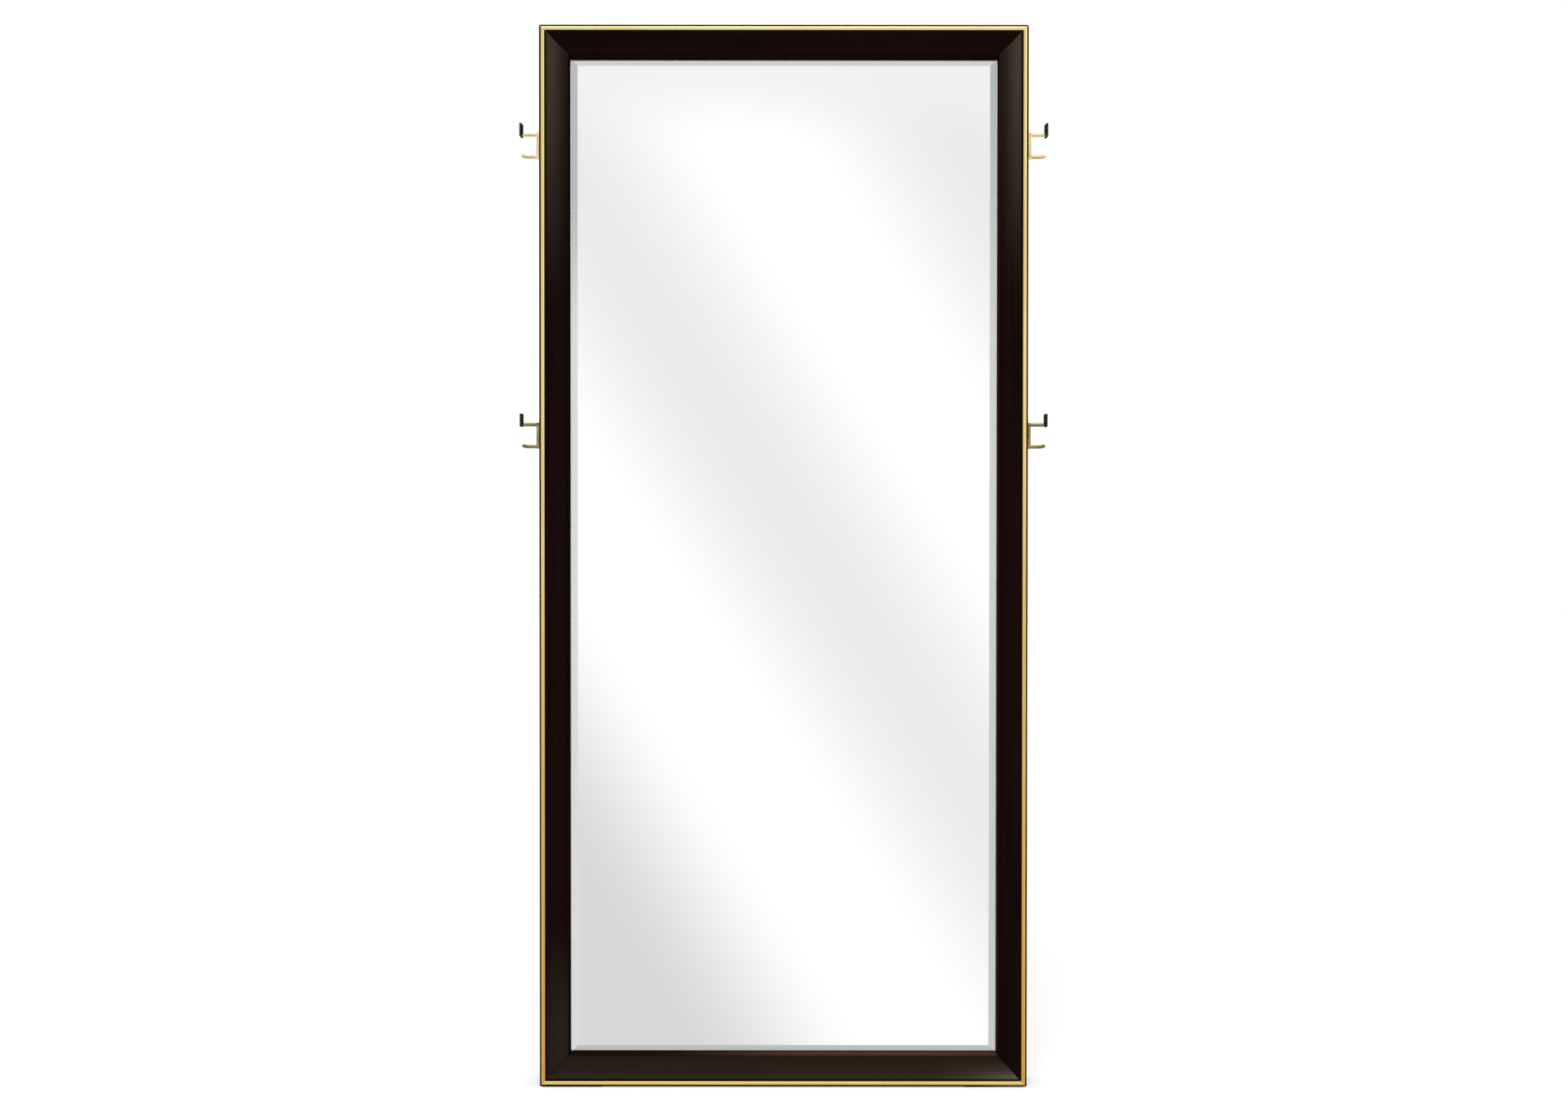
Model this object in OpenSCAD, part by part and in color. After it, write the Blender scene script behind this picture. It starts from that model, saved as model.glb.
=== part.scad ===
// Floor mirror: a bevelled glass in a dark scooped frame with a brass inlay and four side hooks.
// All sizes are millimetres. +Z is up, the glass faces -Y, and the foot pads stand on Z = 0.
// In the moulding's section u runs inwards from the outer side and v runs back from the front.

/* [Frame] */
// Height of the wooden frame
frame_h = 2132; // [1700:1:2400]
// Width of the wooden frame
frame_w = 980; // [700:1:1200]
// Depth of the wooden frame, front to back
frame_d = 70; // [64:1:90]
// Rounding of the frame's four outer corners
corner_r = 3; // [1:0.5:6]

/* [Moulding] */
// Width of the face, from the outer side to the sight edge
face_w = 55; // [50:1:75]
// Width of the dark rim outside the brass
rim_w = 3.2; // [1.6:0.1:4]
// Width of the flat between the brass and the scoop
quirk_w = 4; // [2:0.5:8]
// Drop of that flat behind the rim
quirk_sink = 1; // [0.4:0.1:1.6]
// Drop from the rim to the inner end of the scoop
scoop_drop = 20; // [14:1:24]
// Hollow of the scoop behind a straight slope
scoop_hollow = 3; // [1.5:0.5:4]
// Width of the fillet step at the sight edge
step_w = 2; // [1:0.5:4]
// Drop of the fillet step
step_drop = 1.5; // [1:0.5:3]
// Width and depth of the fine line cut along the inner lip
line_cut = 0.8; // [0.4:0.1:1.2]
// Depth of the glass ledge behind the rim
ledge_v = 35; // [31:1:38]
// Width of the glass ledge
ledge_w = 10; // [8:1:14]
// Width of the ledge that the back panel is screwed to
panel_ledge_w = 15; // [12:1:18]

/* [Brass inlay] */
// Width of the brass strip
inlay_w = 6.9; // [5:0.1:10]
// Thickness of the strip below the rim
inlay_t = 2; // [1.8:0.1:3]
// Height of the strip's rounded crown in front of the rim
inlay_crown = 1; // [0.5:0.1:2]

/* [Glass] */
// Thickness of the glass
glass_t = 6; // [5:0.5:8]
// Width of the bevel round the glass
bevel_w = 25; // [18:1:38]
// Thickness of the glass at its ground edge
edge_t = 3; // [2:0.5:4]
// Gap between the glass's edge and the frame
glass_gap = 3; // [2:0.5:4]
// Length of each rubber block under the glass
block_l = 80; // [50:5:120]
// Distance of the blocks' centres from the ends of the glass
block_inset = 160; // [100:10:250]
// Length of each rubber spacer beside the glass
spacer_l = 50; // [30:5:80]
// Distance of the spacers' centres from the ends of the glass
spacer_inset = 300; // [200:10:500]
// Width of the battens behind the glass
batten_w = 14; // [11:1:20]

/* [Back panel] */
// Thickness of the back panel
panel_t = 5; // [3:0.5:5.5]
// Depth of the rebate that holds the back panel
panel_rebate = 6; // [6:0.5:9]
// Gap between the back panel and the frame round it
panel_gap = 1.5; // [0.5:0.5:3]
// Number of screws up each long side of the panel
side_screws = 7; // [4:1:10]
// Number of screws along each short side of the panel
end_screws = 3; // [2:1:5]
// Distance from the frame's ends to the first panel screws
panel_screw_inset = 130; // [110:5:180]

/* [Screws] */
// Radius of a screw's shank
screw_r = 1.75; // [1.5:0.05:2]
// Radius of a screw's pan head
head_r = 3.4; // [3:0.1:3.8]
// Height of a screw's pan head
head_h = 2.2; // [1.8:0.1:2.6]
// Length of the screws in the back, under the head
back_screw_l = 18; // [14:1:20]
// Length of the hooks' screws, under the head
hook_screw_l = 25; // [18:1:27]

/* [Mitre joints] */
// Length of a beech spline across the mitre
spline_l = 36; // [24:1:40]
// Width of a spline along the mitre
spline_w = 24; // [16:1:28]
// Thickness of a spline
spline_t = 4; // [3:0.5:5]
// Depth of the splines' middle behind the rim
spline_v = 27; // [25:1:29]
// Length of a corner brace's legs
brace_l = 60; // [50:1:80]
// Width of a corner brace's legs
brace_w = 16; // [14:1:20]
// Thickness of a corner brace
brace_t = 2; // [1.5:0.5:3]
// Distance of a brace's screws from the corner square and from the leg's end
brace_margin = 9; // [7:0.5:12]

/* [Ring hangers] */
// Distance from the frame's top to the rings' axis
ring_drop = 340; // [320:5:500]
// Radius of the ring's wire
wire_r = 1.75; // [1.5:0.05:2]
// Clear width inside the ring
ring_inner_w = 22; // [20:1:30]
// Length of the ring's straight legs
ring_leg = 10; // [6:1:14]
// Bend radius of the ring's two upper corners, on the wire's middle
ring_bend = 3; // [2.5:0.5:4]
// Width of the strap plate
strap_w = 16; // [14:0.5:16]
// Thickness of the strap plate
strap_t = 1.5; // [1.2:0.1:2]
// Running clearance round the ring's bar
ring_play = 0.25; // [0.15:0.05:0.35]
// Gap between the hanging ring and the first strap screw's head
strap_head_gap = 5; // [2:0.5:8]
// Distance between the two strap screws
strap_screw_pitch = 23; // [16:1:28]

/* [Feet and bumpers] */
// Thickness of the foot pads
pad_t = 2; // [1:0.5:5]
// Length of each foot pad
pad_l = 120; // [80:5:200]
// Distance of the foot pads from the frame's front, back and rounded corners
pad_inset = 3; // [2:0.5:6]
// Radius of a wall bumper
bumper_r = 8; // [6:0.5:10]
// Height of a wall bumper
bumper_t = 10; // [9:0.5:16]
// Distance of the bumpers from the frame's top and bottom
bumper_inset = 150; // [120:5:200]

/* [Hooks] */
// Distance from the frame's top to the upper hooks' upper arms
hook_drop = 212; // [180:1:240]
// Distance from the upper hooks down to the lower hooks
hook_pitch = 586; // [450:1:700]
// Radius of the hook's brass rod
rod_r = 3.5; // [3:0.1:4]
// Distance between the middles of a hook's two arms
arm_gap = 44.5; // [38:0.5:60]
// Reach of a hook from the frame's side to the outer face of its tab
hook_reach = 43; // [38:0.5:60]
// Thickness of the upright bar between the arms, out from the back plate
post_t = 7; // [5:0.5:9]
// Reach of the lower arm's upturned tip
tip_reach = 40.5; // [36:0.5:43]
// Bend radius of the upturned tip, on the rod's middle
tip_bend = 28; // [18:1:34]
// Turn of the upturned tip, in degrees
tip_turn = 25; // [15:1:30]
// Thickness of a hook's back plate
plate_t = 3; // [2:0.5:4]
// Depth of the back plate and of the tab, front to back
plate_d = 26; // [25:1:34]
// Rim of the back plate beyond the top screw's head and the lower arm
plate_rim = 1; // [0.5:0.5:5]
// Rounding of the back plate's corners
plate_r = 3; // [1:0.5:4]
// Gap between the hook screws' heads and the arms
head_gap = 0.8; // [0.4:0.1:1.2]
// Thickness of a tab
tab_t = 4; // [3:0.5:6]
// Height of a tab
tab_h = 26; // [20:1:36]
// Reach of the tab below the upper arm's middle
tab_down = 4; // [4:0.5:6]
// Rounding of the tab's corners
tab_r = 2; // [1:0.5:3.5]
// Radius of the tab screw's shank
tab_screw_r = 1.5; // [1.2:0.1:1.7]
// Radius of the tab screw's countersunk head
tab_head_r = 2.9; // [2.7:0.1:3.1]
// Length of the tab screw
tab_screw_l = 14; // [10:1:18]

/* [Hidden] */
$fn = 96;

// Colours
espresso = "#1c100c";
brass = "#d8b45c";
aged_brass = "#b8924e";
bronze = "#2b2320";
silvered = "#dfe6e6";
board = "#8a6a48";
pale_wood = "#c9a877";
steel = "#a7abae";
black_steel = "#3a3a3c";
rubber = "#1b1b1c";

// Small clearances and depths
screw_play = 0.1; // between a shank and its hole in wood or brass
loose_play = 0.4; // between a shank and its hole in a plate or panel
spline_play = 0.15; // round a spline in its slots
rest_gap = 0.1; // between the bevel and the ledge's arris
braze = 0.3; // how far a hook's bar and arms are sunk into each other and its plate
cut = 1; // how far a cut runs past the face that it opens
recess_w = 0.9; // width of a cross recess in a screw head
recess_l = 3.4; // length of a cross recess
recess_d = 1; // depth of a cross recess

// Places in the section
inlay_end = rim_w + inlay_w;
scoop_u = inlay_end + quirk_w;
step_u = face_w - step_w;
step_v = scoop_drop + step_drop;
line_v = (step_v + ledge_v) / 2;
rabbet_u = face_w - ledge_w;
panel_u = rabbet_u - panel_ledge_w;
panel_v = frame_d - panel_rebate;
back_u = panel_u / 2;

// The scoop's arc through its two ends
scoop_run = step_u - scoop_u;
scoop_fall = scoop_drop - quirk_sink;
scoop_chord = sqrt(pow(scoop_run, 2) + pow(scoop_fall, 2));
scoop_r = (pow(scoop_chord / 2, 2) + pow(scoop_hollow, 2)) / (2 * scoop_hollow);
scoop_cu = (scoop_u + step_u) / 2 + (scoop_r - scoop_hollow) * scoop_fall / scoop_chord;
scoop_cv = (quirk_sink + scoop_drop) / 2 - (scoop_r - scoop_hollow) * scoop_run / scoop_chord;

// Radius of the brass crown
crown_r = (pow(inlay_w / 2, 2) + pow(inlay_crown, 2)) / (2 * inlay_crown);

// The frame in space
front_y = inlay_crown - (inlay_crown + frame_d + bumper_t) / 2;
back_y = front_y + frame_d;
base_z = pad_t;
top_z = base_z + frame_h;
mid_z = base_z + frame_h / 2;
side_x = frame_w / 2;

// The glass, whose bevel rests on the ledge's arris
glass_u = rabbet_u + glass_gap;
glass_w = frame_w - 2 * glass_u;
glass_h = frame_h - 2 * glass_u;
bevel_drop = glass_t - edge_t;
rest_drop = bevel_drop * (1 - (face_w - glass_u) / bevel_w);
glass_front_v = ledge_v - rest_drop + rest_gap;
glass_back_v = glass_front_v + glass_t;
batten_d = panel_v - glass_back_v;

// The panel's screws
panel_screw_u = panel_u + panel_ledge_w / 2;
panel_screw_x = side_x - panel_screw_u;
side_screw_step = (frame_h - 2 * panel_screw_inset) / (side_screws - 1);
end_screw_step = (frame_w - 2 * panel_screw_inset) / (end_screws - 1);

// The corner braces
brace_edge = back_u - brace_w / 2;
brace_screw_spots = [brace_w + brace_margin, brace_l - brace_margin];

// The rings
leg_x = ring_inner_w / 2 + wire_r;
ring_hang = ring_bend + ring_leg + leg_x + wire_r;
barrel_in_r = wire_r + ring_play;
barrel_r = barrel_in_r + strap_t;
ring_v = frame_d + strap_t + wire_r + ring_play + screw_play;
ring_z = top_z - ring_drop;
ring_x = side_x - back_u;
strap_screw_drop = ring_hang + strap_head_gap + head_r;
strap_l = strap_screw_drop + strap_screw_pitch + strap_w / 2;

// The hooks, measured out from the frame's side and up from the upper arm's middle
hook_v = frame_d / 2;
post_x = plate_t + post_t;
post_r = rod_r + head_gap / 2;
tab_in = hook_reach - tab_t;
tip_x = tip_reach - (tip_bend + rod_r) * sin(tip_turn);
head_out = rod_r + head_gap + head_r;
plate_top = head_out + head_r + plate_rim;
plate_bottom = -arm_gap - rod_r - plate_rim;
sink_d = tab_head_r - tab_screw_r;

// Helpers

// Puts a copy of its children on the left, as drawn, or on the right
module on_side(side) {
    if (side == "left") children();
    else mirror([1, 0, 0]) children();
}

// Puts a screw or hole on the back: its +Z points away from the frame, its origin at depth v
module on_back(x, v, z)
    translate([x, front_y + v, z]) rotate([-90, 0, 0]) children();

// A plate with rounded corners, centred
module rounded_plate(w, h, r) {
    square([w - 2 * r, h], center = true);
    square([w, h - 2 * r], center = true);
    for (x = [-1, 1], y = [-1, 1])
        translate([x * (w / 2 - r), y * (h / 2 - r)]) circle(r);
}

// A pan-head screw with a cross recess: the head's underside at 0, the shank down
module pan_screw(l) {
    difference() {
        union() {
            cylinder(h = head_h / 2, r = head_r);
            translate([0, 0, head_h / 2]) cylinder(h = head_h / 2, r1 = head_r, r2 = head_r * 0.72);
        }
        for (a = [0, 90])
            translate([0, 0, head_h - recess_d / 2 + cut / 2]) rotate(a)
                cube([recess_l, recess_w, recess_d + cut], center = true);
    }
    translate([0, 0, -l + screw_r]) cylinder(h = l - screw_r, r = screw_r);
    translate([0, 0, -l]) cylinder(h = screw_r, r1 = screw_r * 0.3, r2 = screw_r);
}

// The hole that a screw's shank fills in wood
module pilot_hole(l)
    translate([0, 0, -l - screw_play]) cylinder(h = l + screw_play + cut, r = screw_r + screw_play);

// A bend of a rod in the XZ plane, from the angle start through turn
module rod_arc(x, z, bend, r, start, turn = 90)
    translate([x, 0, z]) rotate([90, 0, 0]) rotate(start)
        rotate_extrude(angle = turn) translate([bend, 0]) circle(r, $fn = 48);

// A straight rod along +X
module rod_x_run(x0, x1, z, r)
    translate([x0, 0, z]) rotate([0, 90, 0]) cylinder(h = x1 - x0, r = r, $fn = 48);

// A straight rod along +Z
module rod_z_run(x, z0, z1, r)
    translate([x, 0, z0]) cylinder(h = z1 - z0, r = r, $fn = 48);

// The frame's moulding

// The moulding's section, u to the right and v up
module moulding_section() {
    difference() {
        polygon([
            [0, 0], [rim_w, 0], [rim_w, inlay_t], [inlay_end, inlay_t],
            [inlay_end, quirk_sink], [scoop_u, quirk_sink],
            [step_u, scoop_drop], [step_u, step_v], [face_w, step_v],
            [face_w, line_v - line_cut], [face_w - line_cut, line_v], [face_w, line_v + line_cut],
            [face_w, ledge_v], [rabbet_u, ledge_v], [rabbet_u, panel_v],
            [panel_u, panel_v], [panel_u, frame_d], [0, frame_d]
        ]);
        translate([scoop_cu, scoop_cv]) circle(scoop_r, $fn = 360);
    }
}

// The brass strip's section, seated in the moulding's groove
module inlay_section() {
    translate([rim_w, 0]) intersection() {
        translate([0, -inlay_crown]) square([inlay_w, inlay_crown + inlay_t]);
        translate([inlay_w / 2, crown_r - inlay_crown]) circle(crown_r);
    }
}

// The outline of a mitred member seen from the front, with the frame's corners rounded
module mitred_outline(l) {
    difference() {
        polygon([[-l / 2, 0], [l / 2, 0], [l / 2 - face_w, face_w], [-l / 2 + face_w, face_w]]);
        for (s = [-1, 1]) difference() {
            translate([s * (l / 2 - corner_r / 2), corner_r / 2]) square(corner_r, center = true);
            translate([s * (l / 2 - corner_r), corner_r]) circle(corner_r);
        }
    }
}

// A section drawn out along X and mitred: u upwards, v along +Y
module member(l) {
    intersection() {
        rotate([0, -90, 0]) linear_extrude(l, center = true) children();
        translate([0, frame_d + cut, 0]) rotate([90, 0, 0])
            linear_extrude(frame_d + inlay_crown + 2 * cut) mitred_outline(l);
    }
}

// Member placed as the bottom or the top of the frame
module as_rail(end) {
    if (end == "bottom") translate([0, front_y, base_z]) member(frame_w) children();
    else translate([0, front_y, top_z]) mirror([0, 0, 1]) member(frame_w) children();
}

// Member placed as the left side of the frame
module as_left_stile()
    translate([-side_x, front_y, mid_z]) rotate([0, 90, 0]) member(frame_h) children();

// Height of the corner at the bottom or the top end, and the way inwards from it
function corner_z(end) = end == "bottom" ? base_z : top_z;
function inwards(end) = end == "bottom" ? 1 : -1;

// A spline, or its slot, across a left-hand mitre
module spline_at(end, play) {
    c = (face_w - step_w) / 2;
    translate([-side_x + c, front_y + spline_v, corner_z(end) + inwards(end) * c])
        rotate([0, inwards(end) * -45, 0])
            cube([spline_w + 2 * play, spline_t + 2 * play, spline_l + 2 * play], center = true);
}

// The places of the brace's screws at a left-hand corner
module at_brace_screws(end)
    for (d = brace_screw_spots) {
        on_back(-side_x + brace_edge + d, frame_d + brace_t, corner_z(end) + inwards(end) * back_u) children();
        on_back(-side_x + back_u, frame_d + brace_t, corner_z(end) + inwards(end) * (brace_edge + d)) children();
    }

// The places of the panel's screws up the left side
module at_side_panel_screws()
    for (i = [0 : side_screws - 1])
        on_back(-panel_screw_x, panel_v + panel_t, base_z + panel_screw_inset + i * side_screw_step) children();

// The places of the panel's screws along one end
module at_end_panel_screws(end)
    for (i = [0 : end_screws - 1])
        on_back(-side_x + panel_screw_inset + i * end_screw_step, panel_v + panel_t,
            corner_z(end) + inwards(end) * panel_screw_u) children();

// The places of the strap screws on the left side
module at_strap_screws()
    for (i = [0, 1])
        on_back(-ring_x, frame_d + strap_t, ring_z - strap_screw_drop - i * strap_screw_pitch) children();

// A hook's own frame: +X out from the frame's side, Z = 0 at the upper arm's middle
module at_left_hook(level)
    translate([-side_x, front_y + hook_v, top_z - hook_drop - level * hook_pitch])
        mirror([1, 0, 0]) children();

// The places of one hook's screws, in the hook's own frame
module at_hook_screws() {
    for (p = [[0, head_out], [-head_out, -arm_gap / 2], [head_out, -arm_gap / 2]])
        translate([plate_t, p[0], p[1]]) rotate([0, 90, 0]) children();
}

module left_stile() {
    color(espresso) difference() {
        as_left_stile() moulding_section();
        for (end = ["bottom", "top"]) {
            spline_at(end, spline_play);
            at_brace_screws(end) pilot_hole(back_screw_l);
        }
        at_side_panel_screws() pilot_hole(back_screw_l);
        at_strap_screws() pilot_hole(back_screw_l);
        for (level = [0, 1]) at_left_hook(level) at_hook_screws() pilot_hole(hook_screw_l);
    }
}

module right_stile() mirror([1, 0, 0]) left_stile();

module rail(end) {
    color(espresso) difference() {
        as_rail(end) moulding_section();
        for (side = ["left", "right"]) on_side(side) {
            spline_at(end, spline_play);
            at_brace_screws(end) pilot_hole(back_screw_l);
        }
        at_end_panel_screws(end) pilot_hole(back_screw_l);
    }
}

module mitre_splines() {
    color(pale_wood)
        for (side = ["left", "right"], end = ["bottom", "top"]) on_side(side) spline_at(end, 0);
}

// The brass inlay

module inlay_rail(end) color(brass) as_rail(end) inlay_section();

module inlay_left() color(brass) as_left_stile() inlay_section();

// The glass and what holds it

module mirror_glass() {
    color(silvered) translate([0, front_y + glass_front_v, mid_z]) difference() {
        translate([-glass_w / 2, 0, -glass_h / 2]) cube([glass_w, glass_t, glass_h]);
        for (s = [-1, 1]) {
            glass_end_cut(s, glass_w, glass_h);
            rotate([0, 90, 0]) glass_end_cut(s, glass_h, glass_w);
        }
    }
}

// The bevel cut at the upper (1) or lower (-1) end of a glass of width w and height h
module glass_end_cut(s, w, h)
    translate([0, 0, s * h / 2]) mirror([0, 0, s < 0 ? 1 : 0]) rotate([90, 0, 90])
        linear_extrude(w + 2 * cut, center = true)
            polygon([[-cut, -bevel_w], [0, -bevel_w], [bevel_drop, 0], [bevel_drop, cut], [-cut, cut]]);

// A rubber block between the glass's edge and the frame, at the left or bottom edge
module gap_filler(l) translate([-l / 2, 0, 0]) cube([l, glass_back_v - ledge_v, glass_gap]);

module setting_blocks() {
    color(rubber) for (s = [-1, 1])
        translate([s * (glass_w / 2 - block_inset), front_y + ledge_v, base_z + rabbet_u]) gap_filler(block_l);
}

module edge_spacers() {
    color(rubber) for (side = ["left", "right"], s = [-1, 1]) on_side(side)
        translate([-side_x + rabbet_u, front_y + ledge_v, mid_z + s * (glass_h / 2 - spacer_inset)])
            rotate([0, 90, 0]) gap_filler(spacer_l);
}

// Battens between the glass's back and the panel, butted at the corners
module batten_end(end) {
    l = frame_w - 2 * rabbet_u;
    color(pale_wood) translate([-l / 2, front_y + glass_back_v, corner_z(end) + inwards(end) * rabbet_u])
        mirror([0, 0, end == "top" ? 1 : 0]) cube([l, batten_d, batten_w]);
}

module batten_left() {
    h = frame_h - 2 * (rabbet_u + batten_w);
    color(pale_wood) translate([-side_x + rabbet_u, front_y + glass_back_v, mid_z - h / 2])
        cube([batten_w, batten_d, h]);
}

module back_panel() {
    w = frame_w - 2 * (panel_u + panel_gap);
    h = frame_h - 2 * (panel_u + panel_gap);
    color(board) difference() {
        translate([-w / 2, front_y + panel_v, mid_z - h / 2]) cube([w, panel_t, h]);
        for (side = ["left", "right"]) on_side(side) at_side_panel_screws() loose_hole(panel_t);
        for (end = ["bottom", "top"]) at_end_panel_screws(end) loose_hole(panel_t);
    }
}

// A clearance hole through a plate of thickness t, from its outer face down
module loose_hole(t)
    translate([0, 0, -t - cut]) cylinder(h = t + 2 * cut, r = screw_r + loose_play);

module panel_screws() {
    color(black_steel) {
        for (side = ["left", "right"]) on_side(side) at_side_panel_screws() pan_screw(back_screw_l);
        for (end = ["bottom", "top"]) at_end_panel_screws(end) pan_screw(back_screw_l);
    }
}

// The corner braces

module brace_left(end) {
    color(steel) difference() {
        translate([-side_x + brace_edge, back_y, corner_z(end) + inwards(end) * brace_edge])
            mirror([0, 0, end == "top" ? 1 : 0]) union() {
                cube([brace_l, brace_t, brace_w]);
                cube([brace_w, brace_t, brace_l]);
            }
        at_brace_screws(end) loose_hole(brace_t);
    }
}

module brace_screws() {
    color(black_steel)
        for (side = ["left", "right"], end = ["bottom", "top"]) on_side(side)
            at_brace_screws(end) pan_screw(back_screw_l);
}

// The ring hangers

module ring_plate_left() {
    color(steel) difference() {
        translate([-ring_x, 0, ring_z]) {
            translate([0, back_y + strap_t, 0]) rotate([90, 0, 0]) linear_extrude(strap_t) {
                translate([-strap_w / 2, -strap_l + strap_w / 2]) square([strap_w, strap_l - strap_w / 2]);
                translate([0, -strap_l + strap_w / 2]) circle(strap_w / 2);
            }
            translate([-strap_w / 2, front_y + ring_v, 0]) rotate([0, 90, 0])
                cylinder(h = strap_w, r = barrel_r);
        }
        translate([-ring_x - strap_w / 2 - cut, front_y + ring_v, ring_z]) rotate([0, 90, 0])
            cylinder(h = strap_w + 2 * cut, r = barrel_in_r);
        at_strap_screws() loose_hole(strap_t);
    }
}

// The D-shaped ring, hanging straight down from its bar
module hanging_ring_left() {
    color(steel) translate([-ring_x, front_y + ring_v, ring_z]) {
        bend_x = leg_x - ring_bend;
        rod_x_run(-bend_x, bend_x, 0, wire_r);
        rod_arc(-bend_x, -ring_bend, ring_bend, wire_r, 90);
        rod_arc(bend_x, -ring_bend, ring_bend, wire_r, 0);
        for (s = [-1, 1]) rod_z_run(s * leg_x, -ring_bend - ring_leg, -ring_bend, wire_r);
        rod_arc(0, -ring_bend - ring_leg, leg_x, wire_r, 180);
        rod_arc(0, -ring_bend - ring_leg, leg_x, wire_r, 270);
    }
}

module ring_plate_screws() {
    color(black_steel)
        for (side = ["left", "right"]) on_side(side) at_strap_screws() pan_screw(back_screw_l);
}

// What touches the wall and the floor

module wall_bumpers() {
    color(rubber)
        for (side = ["left", "right"], end = ["bottom", "top"]) on_side(side)
            on_back(-side_x + back_u, frame_d, corner_z(end) + inwards(end) * bumper_inset)
                cylinder(h = bumper_t, r = bumper_r);
}

module foot_pads() {
    color(rubber)
        for (side = ["left", "right"]) on_side(side)
            translate([-side_x + corner_r + pad_inset, front_y + pad_inset, 0])
                cube([pad_l, frame_d - 2 * pad_inset, pad_t]);
}

// The hooks

module hook_bracket() {
    color(aged_brass) difference() {
        union() {
            translate([0, 0, (plate_top + plate_bottom) / 2]) rotate([90, 0, 90])
                linear_extrude(plate_t) rounded_plate(plate_d, plate_top - plate_bottom, plate_r);
            translate([plate_t - braze, -post_r, -arm_gap - post_r])
                cube([post_t + braze, 2 * post_r, arm_gap + 2 * post_r]);
            rod_x_run(post_x - braze, tab_in, 0, rod_r);
            rod_x_run(post_x - braze, tip_x, -arm_gap, rod_r);
            rod_arc(tip_x, tip_bend - arm_gap, tip_bend, rod_r, 270, tip_turn);
        }
        at_hook_screws() loose_hole(plate_t);
        translate([hook_reach - tab_screw_l - screw_play, 0, 0]) rotate([0, 90, 0])
            cylinder(h = tab_screw_l, r = tab_screw_r + screw_play);
    }
}

module hook_tab() {
    color(bronze) difference() {
        translate([tab_in, 0, tab_h / 2 - tab_down]) rotate([90, 0, 90])
            linear_extrude(tab_t) rounded_plate(plate_d, tab_h, tab_r);
        translate([tab_in - cut, 0, 0]) rotate([0, 90, 0])
            cylinder(h = tab_t + 2 * cut, r = tab_screw_r + screw_play);
        translate([hook_reach - sink_d, 0, 0]) rotate([0, 90, 0])
            cylinder(h = sink_d, r1 = tab_screw_r + screw_play, r2 = tab_head_r + screw_play);
    }
}

// The tab's countersunk screw, with a slot across its head
module tab_screw() {
    difference() {
        union() {
            translate([hook_reach - sink_d, 0, 0]) rotate([0, 90, 0])
                cylinder(h = sink_d, r1 = tab_screw_r, r2 = tab_head_r);
            rod_x_run(hook_reach - tab_screw_l, hook_reach - sink_d, 0, tab_screw_r);
        }
        translate([hook_reach, 0, 0]) cube([recess_d, 2 * tab_head_r + cut, recess_w], center = true);
    }
}

module hook_screws() {
    color(black_steel)
        for (side = ["left", "right"], level = [0, 1]) on_side(side) at_left_hook(level)
            at_hook_screws() pan_screw(hook_screw_l);
}

module tab_screws() {
    color(black_steel)
        for (side = ["left", "right"], level = [0, 1]) on_side(side) at_left_hook(level) tab_screw();
}

// A hook's piece in its place
module place_hook(side, level) on_side(side) at_left_hook(level) children();

rail("top");  // top_rail
rail("bottom");  // bottom_rail
left_stile();
right_stile();
mitre_splines();
inlay_rail("top");  // brass_inlay_top
inlay_rail("bottom");  // brass_inlay_bottom
inlay_left();  // brass_inlay_left
mirror([1, 0, 0]) inlay_left();  // brass_inlay_right
mirror_glass();
setting_blocks();
edge_spacers();
batten_end("top");  // glass_batten_top
batten_end("bottom");  // glass_batten_bottom
batten_left();  // glass_batten_left
mirror([1, 0, 0]) batten_left();  // glass_batten_right
back_panel();
panel_screws();
brace_left("top");  // brace_top_left
mirror([1, 0, 0]) brace_left("top");  // brace_top_right
brace_left("bottom");  // brace_bottom_left
mirror([1, 0, 0]) brace_left("bottom");  // brace_bottom_right
brace_screws();
ring_plate_left();
mirror([1, 0, 0]) ring_plate_left();  // ring_plate_right
hanging_ring_left();
mirror([1, 0, 0]) hanging_ring_left();  // hanging_ring_right
ring_plate_screws();
wall_bumpers();
foot_pads();
place_hook("left", 0) hook_bracket();  // hook_bracket_upper_left
place_hook("right", 0) hook_bracket();  // hook_bracket_upper_right
place_hook("left", 1) hook_bracket();  // hook_bracket_lower_left
place_hook("right", 1) hook_bracket();  // hook_bracket_lower_right
place_hook("left", 0) hook_tab();  // hook_tab_upper_left
place_hook("right", 0) hook_tab();  // hook_tab_upper_right
place_hook("left", 1) hook_tab();  // hook_tab_lower_left
place_hook("right", 1) hook_tab();  // hook_tab_lower_right
hook_screws();
tab_screws();
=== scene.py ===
"""Looks of the floor mirror: materials, soft edges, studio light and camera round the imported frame.

Metres, in the frame's own axes: +Z up, the glass faces -Y, and the floor is at Z = 0.
"""

import math

import bpy
from mathutils import Euler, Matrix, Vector


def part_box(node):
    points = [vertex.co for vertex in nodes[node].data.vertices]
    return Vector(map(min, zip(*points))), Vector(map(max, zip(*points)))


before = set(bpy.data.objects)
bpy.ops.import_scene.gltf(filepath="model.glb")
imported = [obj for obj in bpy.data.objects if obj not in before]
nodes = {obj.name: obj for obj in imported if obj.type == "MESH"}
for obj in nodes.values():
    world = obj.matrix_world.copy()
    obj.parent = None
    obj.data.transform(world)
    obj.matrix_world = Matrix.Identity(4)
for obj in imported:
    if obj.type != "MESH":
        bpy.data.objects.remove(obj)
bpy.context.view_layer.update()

MM = 0.001

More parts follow.
